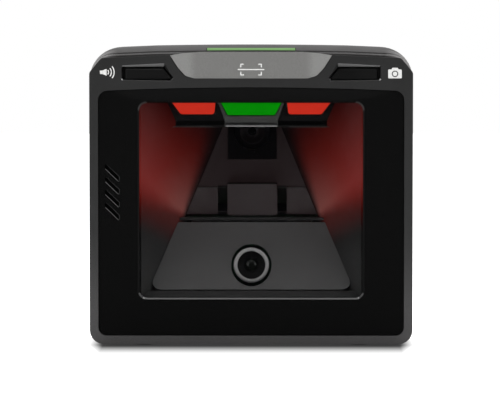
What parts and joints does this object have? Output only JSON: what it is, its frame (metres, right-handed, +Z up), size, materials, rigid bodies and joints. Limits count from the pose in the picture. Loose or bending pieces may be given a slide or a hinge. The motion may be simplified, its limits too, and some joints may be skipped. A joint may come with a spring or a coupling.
{
  "type": "window barcode scanner",
  "caption": "Free-standing counter-top barcode scanner with an upright reading window, a fold-mirror optical chamber, sprung buttons and rear modular sockets.",
  "frame": {"origin": "centre of the resting plane under the rubber feet, at the middle of the overall width and depth", "axes": "+Z up, -Y out of the reading window towards the user, +X to the user's right"},
  "size_m": [0.15, 0.086, 0.1404],
  "materials": {
    "frame_plastic": "fine moulded texture, dark grey, slightly warm",
    "badge_paint": "satin silver-grey paint",
    "gloss_black": "piano-black, polished",
    "window_glass": "clear coated scan window, polished",
    "housing_plastic": "fine moulded texture, warm dark grey",
    "rubber": "matte black rubber",
    "green_lens": "translucent green, lit",
    "red_lens": "translucent red, lit",
    "chamber_plastic": "matte charcoal",
    "mirror_silver": "front-silvered mirror",
    "satin_black": "satin black",
    "ring_metal": "dark anodised, satin",
    "lens_glass": "coated lens, polished",
    "circuit_board": "green solder mask",
    "steel": "zinc-plated steel",
    "flex_film": "amber polyimide film"
  },
  "bodies": {
    "casing": {"front_bezel": "frame_plastic", "brow_badge": "badge_paint", "face_plate": "gloss_black", "scan_window": "window_glass", "window_gasket": "rubber", "rear_housing": "housing_plastic", "base_plate": "steel", "foot_front_left": "rubber", "foot_front_right": "rubber", "foot_rear_left": "rubber", "foot_rear_right": "rubber", "base_screw_1": "steel", "base_screw_2": "steel", "base_screw_3": "steel", "base_screw_4": "steel", "rear_screw_1": "steel", "rear_screw_2": "steel", "status_light_pipe": "green_lens", "volume_switch": "steel", "camera_switch": "steel", "button_board": "circuit_board", "status_led": "satin_black", "chamber_wall_right": "chamber_plastic", "chamber_wall_left": "chamber_plastic", "chamber_sill": "chamber_plastic", "chin_panel": "chamber_plastic", "fold_mirror": "mirror_silver", "mirror_retainer": "chamber_plastic", "mirror_carrier": "satin_black", "chamber_ceiling": "chamber_plastic", "camera_barrel": "satin_black", "camera_lens": "lens_glass", "camera_trim_ring": "ring_metal", "camera_board": "circuit_board", "imager_housing": "satin_black", "imager_barrel": "satin_black", "imager_lens": "lens_glass", "imager_board": "circuit_board", "lamp_carrier": "satin_black", "lamp_bezel": "ring_metal", "red_lamp_left": "red_lens", "red_lamp_right": "red_lens", "green_lamp": "green_lens", "lamp_board": "circuit_board", "lamp_bracket": "chamber_plastic", "main_board": "circuit_board", "shield_can": "steel", "host_jack": "satin_black", "aux_jack": "satin_black", "port_bay": "housing_plastic", "imager_flex": "flex_film", "chassis_plate": "steel", "speaker_basket": "satin_black", "speaker_magnet": "steel"},
    "volume_button": {"volume_button": "satin_black"},
    "camera_button": {"camera_button": "satin_black"},
    "volume_plunger": {"volume_plunger": "satin_black"},
    "camera_plunger": {"camera_plunger": "satin_black"},
    "speaker_cone": {"speaker_cone": "satin_black"}
  },
  "joints": [
    {"name": "volume_button_press", "type": "slide", "parent": "casing", "child": "volume_button", "axis": [0, 1, 0], "range_m": [0, 0.0008], "stiffness_N_per_m": 1800},
    {"name": "camera_button_press", "type": "slide", "parent": "casing", "child": "camera_button", "axis": [0, 1, 0], "range_m": [0, 0.0008], "stiffness_N_per_m": 1800},
    {"name": "volume_plunger_press", "type": "slide", "parent": "casing", "child": "volume_plunger", "axis": [0, 1, 0], "range_m": [0, 0.0008]},
    {"name": "camera_plunger_press", "type": "slide", "parent": "casing", "child": "camera_plunger", "axis": [0, 1, 0], "range_m": [0, 0.0008]},
    {"name": "speaker_cone_travel", "type": "slide", "parent": "casing", "child": "speaker_cone", "axis": [0, 1, 0], "range_m": [-0.0004, 0.0004], "stiffness_N_per_m": 500}
  ],
  "couplings": [
    {"joint": "volume_plunger_press", "follows": "volume_button_press", "ratio": 1},
    {"joint": "camera_plunger_press", "follows": "camera_button_press", "ratio": 1}
  ]
}
